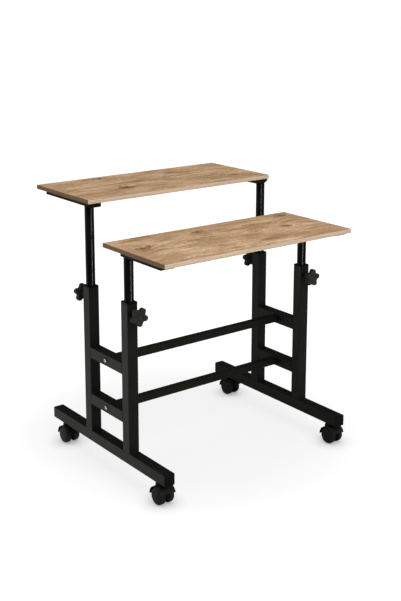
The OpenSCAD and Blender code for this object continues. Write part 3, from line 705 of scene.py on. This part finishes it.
class DESK_OT_knobs(bpy.types.Operator):
    """Builds the four star knobs with soft lobes, a dished face round a low boss and a flared neck"""
    bl_idname = "desk.knobs"
    bl_label = "Build the star knobs"

    LOBES = 5
    # Steps of the arcs round a lobe's end and in a hollow, and round the neck and the boss
    LOBE_STEPS, VALLEY_STEPS, ROUND_STEPS = 16, 5, 40
    # How far each knob was left turned from one lobe up, in degrees
    TURNS = {("front", "left"): 36.0, ("front", "right"): -9.0}

    def execute(self, context):
        details = context.scene.desk_details
        thickness = details.star_thickness * MM
        for end, side in CORNERS:
            name = f"knob_{end}_{side}"
            low, high, _ = box_of(name)
            leg = clamp_frame(end, side)
            gap = abs((low.y if end == "rear" else high.y) - leg.translation.y)
            face = -1.0 if end == "front" else 1.0
            neck = high.y - low.y - thickness
            edit = self.star(details, thickness, self.TURNS.get((end, side), 0.0) - 90.0 * face)
            bmesh.ops.translate(edit, vec=(0.0, 0.0, neck), verts=edit.verts)
            with_turned(edit, self.neck_outline(details.neck_radius * MM, neck), self.ROUND_STEPS)
            placed(edit, leg @ Matrix.Translation((0, 0, gap)))
            finish_piece(edit, f"star_{name}", f"clamp_{name}", "knob_plastic", replaced=[name], smooth=50.0)
        return {"FINISHED"}

    def neck_outline(self, radius, length):
        """A rounded foot, a straight part and a flare that ends inside the star."""
        foot, flare, end = 1.2 * MM, 2.2 * MM, length + 2.0 * MM
        return [
            (0.0, 0.0), (radius - foot, 0.0), (radius - foot / 4, foot / 3), (radius, foot),
            (radius, length * 0.55), (radius + 0.6 * MM, length * 0.8), (radius + flare, length),
            (radius + flare, end), (0.0, end),
        ]

    def star(self, details, thickness, turn):
        """The star's solid: one lobe is swept from arcs, copied round and extruded."""
        lobe_r, valley_r = details.lobe_radius * MM, details.valley_radius * MM
        half = math.pi / self.LOBES
        lobe_c = details.star_radius * MM - lobe_r
        reach = math.sqrt((lobe_r + valley_r) ** 2 - (lobe_c * math.sin(half)) ** 2)
        valley_c = lobe_c * math.cos(half) + reach
        valley = Vector((valley_c * math.cos(half), -valley_c * math.sin(half), 0.0))
        lobe = Vector((lobe_c, 0.0, 0.0))
        lean = math.atan2(-valley.y, valley.x - lobe_c)
        bite = lean - half
        edit = bmesh.new()
        inner = valley.length - valley_r
        start = edit.verts.new((inner * math.cos(half), -inner * math.sin(half), 0.0))
        about = {"axis": (0.0, 0.0, 1.0)}
        hollow = {"angle": -bite, "steps": self.VALLEY_STEPS, **about}
        last = bmesh.ops.spin(edit, geom=[start], cent=valley, **hollow)["geom_last"]
        last = bmesh.ops.spin(
            edit, geom=last, cent=lobe, angle=2 * lean, steps=self.LOBE_STEPS, **about)["geom_last"]
        valley.y = -valley.y
        bmesh.ops.spin(edit, geom=last, cent=valley, **hollow)
        bmesh.ops.spin(
            edit, geom=edit.verts[:] + edit.edges[:], cent=(0, 0, 0), **about,
            angle=2 * math.pi * (self.LOBES - 1) / self.LOBES, steps=self.LOBES - 1, use_duplicate=True)
        bmesh.ops.remove_doubles(edit, verts=edit.verts, dist=TOUCHING)
        bmesh.ops.contextual_create(edit, geom=edit.edges[:])
        placed(edit, Matrix.Rotation(math.radians(turn), 4, "Z"))
        top = bmesh.ops.extrude_face_region(edit, geom=edit.faces[:])["geom"]
        raised = [made for made in top if isinstance(made, bmesh.types.BMVert)]
        bmesh.ops.translate(edit, vec=(0.0, 0.0, thickness), verts=raised)
        bmesh.ops.recalc_face_normals(edit, faces=edit.faces)
        rims = [edge for edge in edit.edges if abs(edge.verts[0].co.z - edge.verts[1].co.z) < TOUCHING]
        round_over(edit, rims, details.star_rounding * MM, segments=5)
        face = max(edit.faces, key=lambda f: (round(f.calc_center_median().z, 5), f.calc_area()))
        # The face: a shallow dish round a low central boss that closes the screw's bore
        bmesh.ops.inset_region(edit, faces=[face], thickness=1.6 * MM, depth=-0.6 * MM, use_even_offset=True)
        boss, cap, sunk = 9.8 * MM, 7.4 * MM, thickness - 2.0 * MM
        with_turned(edit, [
            (0.0, sunk), (boss, sunk), (boss, thickness - 0.1 * MM), (boss - 0.4 * MM, thickness),
            (cap + 0.6 * MM, thickness), (cap, thickness - 0.5 * MM), (0.0, thickness - 0.2 * MM),
        ], self.ROUND_STEPS)
        return edit


class DESK_OT_clamp_screws(bpy.types.Operator):
    """Builds the clamp screws with a real helical thread"""
    bl_idname = "desk.clamp_screws"
    bl_label = "Build the clamp screws"

    # The thread's depth, and its section's places along the screw, as shares of its pitch
    DEPTH, SECTION = 0.61, (0.0, 0.42, 0.54, 0.96)
    # Steps in each turn of the thread
    STEPS = 16

    def execute(self, context):
        pitch = context.scene.desk_details.thread_pitch * MM
        plain, chamfer, sunk = 1.5 * MM, 0.8 * MM, 0.1 * MM
        for end, side in CORNERS:
            name = f"knob_screw_{end}_{side}"
            low, high, _ = box_of(name)
            length, radius = high.y - low.y, (high.x - low.x) / 2
            leg = clamp_frame(end, side)
            tip = abs((high.y if end == "front" else low.y) - leg.translation.y)
            root = radius - self.DEPTH * pitch
            edit = bmesh.new()
            core = [(0.0, 0.0), (root - chamfer, 0.0), (root, chamfer), (root, length), (0.0, length)]
            turned(edit, core, steps=24)
            turns = int((length - 2 * plain) / pitch) - 1
            reach = (root - sunk, radius, radius, root - sunk)
            places = [(r, 0.0, plain + pitch * share) for r, share in zip(reach, self.SECTION)]
            face = edit.faces.new([edit.verts.new(place) for place in places])
            bmesh.ops.spin(
                edit, geom=[face, *face.edges, *face.verts], cent=(0, 0, 0), axis=(0, 0, 1),
                dvec=(0.0, 0.0, pitch / self.STEPS), angle=2 * math.pi * turns, steps=self.STEPS * turns)
            placed(edit, leg @ Matrix.Translation((0, 0, -tip)))
            finish_piece(edit, f"threaded_{name}", f"clamp_knob_{end}_{side}", "zinc_plated_steel",
                         replaced=[name], smooth=40.0)
        return {"FINISHED"}


class DESK_OT_washers(bpy.types.Operator):
    """Builds the dark washers round the crossbar bolts' heads"""
    bl_idname = "desk.washers"
    bl_label = "Build the washers"

    def execute(self, context):
        details = context.scene.desk_details
        inner, outer = details.washer_inner * MM, details.washer_outer * MM
        thickness, sunk, chamfer, bore_chamfer = 1.4 * MM, -0.1 * MM, 0.5 * MM, 0.3 * MM
        for side, outward in (("left", -1.0), ("right", 1.0)):
            for level in ("upper", "lower"):
                low, high, middle = box_of(f"rung_{level}_{side}")
                edit = bmesh.new()
                turned(edit, [
                    (inner, sunk), (outer, sunk), (outer, thickness - chamfer), (outer - chamfer, thickness),
                    (inner + bore_chamfer, thickness), (inner, thickness - bore_chamfer), (inner, sunk),
                ], steps=40)
                placed(edit, sideways_frame(low.x if side == "left" else high.x, middle, outward))
                finish_piece(edit, f"bolt_washer_{level}_{side}", "frame", "black_plastic")
        return {"FINISHED"}


class DESK_OT_wheels(bpy.types.Operator):
    """Builds the castor wheels with a soft tread band, a domed disc, a groove and a hub cap"""
    bl_idname = "desk.wheels"
    bl_label = "Build the castor wheels"

    def execute(self, context):
        for end, side in CORNERS:
            stem = joint_place(f"castor_swivel_{end}_{side}").x
            for place in ("outer", "inner"):
                name = f"castor_wheel_{place}_{end}_{side}"
                low, high, middle = box_of(name)
                hub, face = sorted((abs(low.x - stem), abs(high.x - stem)))
                edit = bmesh.new()
                turned(edit, self.outline((high.z - low.z) / 2, hub, face), steps=72)
                placed(edit, sideways_frame(stem, middle, 1.0 if middle.x > stem else -1.0))
                finish_piece(edit, f"moulded_{name}", name, "castor_nylon", replaced=[name], smooth=32.0)
        return {"FINISHED"}

    def outline(self, rim, hub, face):
        """Half the wheel's section, as (radius, distance out), between its hub side and its face."""
        bore, boss, wall, seam, crown = 3.1 * MM, 8.0 * MM, 3.5 * MM, 0.3 * MM, 9.0 * MM
        arc = [math.radians(10.0 * step) for step in range(1, 9)]
        return [
            # The blind bore for the axle and the boss round it
            (0.0, face - 4.0 * MM), (bore, face - 4.0 * MM), (bore, hub), (boss - 0.5 * MM, hub),
            (boss, hub + 0.5 * MM),
            # The hollow back, up to the inside of the tread
            (boss, face - 6.0 * MM), (rim - 9.5 * MM, face - 7.5 * MM), (rim - wall, face - 12.0 * MM),
            (rim - wall, hub + wall),
            # The tread band and its seam with the disc
            (rim - 1.0 * MM, hub + wall), (rim, hub + 4.5 * MM), (rim, face - 13.5 * MM),
            (rim - seam, face - 13.0 * MM), (rim - seam, face - 12.6 * MM),
            *((rim - crown + crown * math.cos(t), face - 10.5 * MM + crown * math.sin(t)) for t in arc),
            # The groove and the hub cap
            (14.5 * MM, face - 0.6 * MM), (14.0 * MM, face - 1.3 * MM), (13.0 * MM, face - 1.3 * MM),
            (12.5 * MM, face - 0.5 * MM), (8.0 * MM, face), (0.0, face),
        ]


class DESK_OT_stage(bpy.types.Operator):
    """Builds the floor, the lights, the world and the camera"""
    bl_idname = "desk.stage"
    bl_label = "Build the studio"

    WHITE = "#ffffff"
    # What the lamps point at: the middle of the desk, 0.55 m up
    AIM = Vector((0.0, 0.0, 0.55))
    # In metres: half the floor's side, and the distances between which it turns white
    FLOOR_REACH, WHITE_FROM, WHITE_BY = 30.0, 0.30, 1.30
    # The painted contact shadow where a castor stands: its reach in metres and the light left in it
    SPOT_REACH, SPOT_LIGHT = 0.06, 0.45
    # The pale patch that gloss sees on the floor: its middle, its inner and outer reach, its strength
    PATCH, PATCH_IN, PATCH_OUT, PATCH_LIGHT = (-1.0, 0.25), 0.55, 0.95, 0.6
    # Reflectance of the rest of the floor in gloss
    GLOSS_FLOOR = 0.17
    # The upward parts of a reflection's direction between which the white wall ends
    WALL_TOP, WALL_END = 0.02, 0.12

    def execute(self, context):
        stage = context.scene.desk_stage
        self.floor(stage)
        self.world(stage)
        self.lights(stage)
        self.camera(context, stage)
        context.scene.view_settings.view_transform = "Standard"
        return {"FINISHED"}

    def floor(self, stage):
        edit = bmesh.new()
        bmesh.ops.create_grid(edit, x_segments=1, y_segments=1, size=self.FLOOR_REACH)
        mesh = bpy.data.meshes.new("studio_floor")
        edit.to_mesh(mesh)
        edit.free()
        floor = bpy.data.objects.new("studio_floor", mesh)
        bpy.context.scene.collection.objects.link(floor)
        made = bpy.data.materials.new("pale_studio_floor")
        add = node_adder(made)
        rays = add("LightPath").outputs
        place = add("TexCoord").outputs["Object"]
        # What the camera and reflections see: paint that takes the shadow, lifted to white
        paint = add("BsdfDiffuse", {"Color": (stage.floor_paint,) * 3 + (1.0,)})
        far = add("VectorMath", (place,), operation="LENGTH")
        lift = add("MapRange", (far, self.WHITE_FROM, self.WHITE_BY, stage.floor_lift, 1.0), **EASED)
        # Painted shadow: the floor's glow dims where ambient occlusion finds a castor close by
        near = add("AmbientOcclusion", {"Distance": self.SPOT_REACH}, samples=8).outputs["AO"]
        painted_shadow = add("MapRange", (near, 0.3, 1.0, self.SPOT_LIGHT, 1.0))
        lift = add("Math", (lift, painted_shadow), operation="MULTIPLY")
        white = add("AddShader", (paint, add("Emission", {"Color": self.WHITE, "Strength": lift})))
        # What lights the desk from below, and what gloss sees outside the patch
        bounce = add("BsdfDiffuse", {"Color": add("MapRange", {
            "Value": rays["Is Glossy Ray"], "To Min": stage.floor_bounce, "To Max": self.GLOSS_FLOOR})})
        # Gloss sees the pale patch beside the left foot and a dim room in front of the desk
        beside = away_from(add, place, *self.PATCH, (1.0, 1.0, 0.0))
        share = add("MapRange", (
            beside, self.PATCH_IN, self.PATCH_OUT, self.PATCH_LIGHT, stage.floor_mirror), **EASED)
        mirrored = add("Math", (rays["Is Glossy Ray"], share), operation="MULTIPLY")
        seen = strongest(add, (rays["Is Camera Ray"], mirrored, rays["Is Transmission Ray"]))
        shown = add("MixShader", (seen, bounce, white))
        add("OutputMaterial", {"Surface": shown})
        mesh.materials.append(made)

    def world(self, stage):
        world = bpy.data.worlds.new("studio_world")
        bpy.context.scene.world = world
        add = node_adder(world)
        rays = add("LightPath").outputs
        # In reflections the white wall ends above eye level, under a dark ceiling
        height = add("SeparateXYZ", (add("TexCoord").outputs["Generated"],)).outputs["Z"]
        level = add("MapRange", (height, self.WALL_TOP, self.WALL_END, 1.0, stage.ceiling), **EASED)
        dim, mirrored, white = (
            add("Background", {"Color": self.WHITE, "Strength": strength})
            for strength in (stage.ambient, level, 1.0))
        lit = add("MixShader", (rays["Is Glossy Ray"], dim, mirrored))
        seen = strongest(add, (rays["Is Camera Ray"], rays["Is Transmission Ray"]))
        add("OutputWorld", {"Surface": add("MixShader", (seen, lit, white))})

    def lights(self, stage):
        # Azimuth from the front in degrees; height, level distance and the lamp's size in metres
        for name, power, azimuth, height, distance, size in (
            ("front_softbox", stage.front_power, -2, 2.5, 2.9, (2.4, 2.4)),
            ("left_panel", stage.panel_power, -123, 0.5, 1.37, (0.7, 1.3)),
            ("strip_light", stage.strip_power, 3, 0.6, 1.52, (0.11, 1.15)),
            ("top_softbox", stage.top_power, -150, 3.3, 0.7, (2.2, 2.2)),
        ):
            lamp = bpy.data.lights.new(name, "AREA")
            lamp.shape, lamp.energy = "RECTANGLE", power
            lamp.size, lamp.size_y = size
            holder = bpy.data.objects.new(name, lamp)
            turn = math.radians(azimuth)
            holder.location = (math.sin(turn) * distance, -math.cos(turn) * distance, height)
            holder.rotation_euler = (self.AIM - holder.location).to_track_quat("-Z", "Y").to_euler()
            # Only the strip and the panel are mirrored: the broad boxes would wash out the blacks
            holder.visible_glossy = name in ("strip_light", "left_panel")
            holder.visible_diffuse = name != "strip_light"
            holder.visible_camera = False
            if name == "strip_light":
                tubes = bpy.data.collections.new("strip_light_receivers")
                for end, side in CORNERS:
                    tubes.objects.link(bpy.data.objects[f"{end}_tube_{side}_soft_edged"])
                holder.light_linking.receiver_collection = tubes
            bpy.context.scene.collection.objects.link(holder)

    def camera(self, context, stage):
        lens = bpy.data.cameras.new("studio_camera")
        lens.sensor_width, lens.lens = 36.0, stage.camera_lens
        lens.shift_x, lens.shift_y = stage.shift_x, stage.shift_y
        lens.clip_start, lens.clip_end = 0.05, 60.0
        camera = bpy.data.objects.new("studio_camera", lens)
        azimuth, tilt = stage.camera_azimuth, stage.camera_tilt
        level = Vector((math.sin(azimuth), -math.cos(azimuth), 0.0))
        right = Vector((math.cos(azimuth), math.sin(azimuth), 0.0))
        back = level * math.cos(tilt) + Vector((0.0, 0.0, math.sin(tilt)))
        camera.location = level * stage.camera_distance + right * stage.camera_side
        camera.location.z = stage.camera_height
        camera.rotation_euler = (-back).to_track_quat("-Z", "Y").to_euler()
        context.scene.collection.objects.link(camera)
        context.scene.camera = camera


class DESK_PT_panel(bpy.types.Panel):
    """Lists the desk's builders and settings"""
    bl_idname = "DESK_PT_panel"
    bl_label = "Desk"
    bl_space_type = "VIEW_3D"
    bl_region_type = "UI"
    bl_category = "Desk"

    def draw(self, context):
        for builder in BUILDERS:
            self.layout.operator(builder.bl_idname)
        for name, group in GROUPS.items():
            for setting in group.__annotations__:
                self.layout.prop(getattr(context.scene, name), setting)


BUILDERS = (
    DESK_OT_finishes, DESK_OT_boards, DESK_OT_soft_edges, DESK_OT_welds, DESK_OT_knobs, DESK_OT_clamp_screws,
    DESK_OT_washers, DESK_OT_wheels, DESK_OT_stage,
)
GROUPS = {"desk_finishes": DeskFinishes, "desk_details": DeskDetails, "desk_stage": DeskStage}


def register():
    for made in (*GROUPS.values(), *BUILDERS, DESK_PT_panel):
        bpy.utils.register_class(made)
    for name, group in GROUPS.items():
        setattr(bpy.types.Scene, name, PointerProperty(type=group))


def unregister():
    for name in GROUPS:
        delattr(bpy.types.Scene, name)
    for made in reversed((*GROUPS.values(), *BUILDERS, DESK_PT_panel)):
        bpy.utils.unregister_class(made)


def main():
    register()
    for builder in BUILDERS:
        area, name = builder.bl_idname.split(".")
        getattr(getattr(bpy.ops, area), name)()


if __name__ == "__main__":
    main()
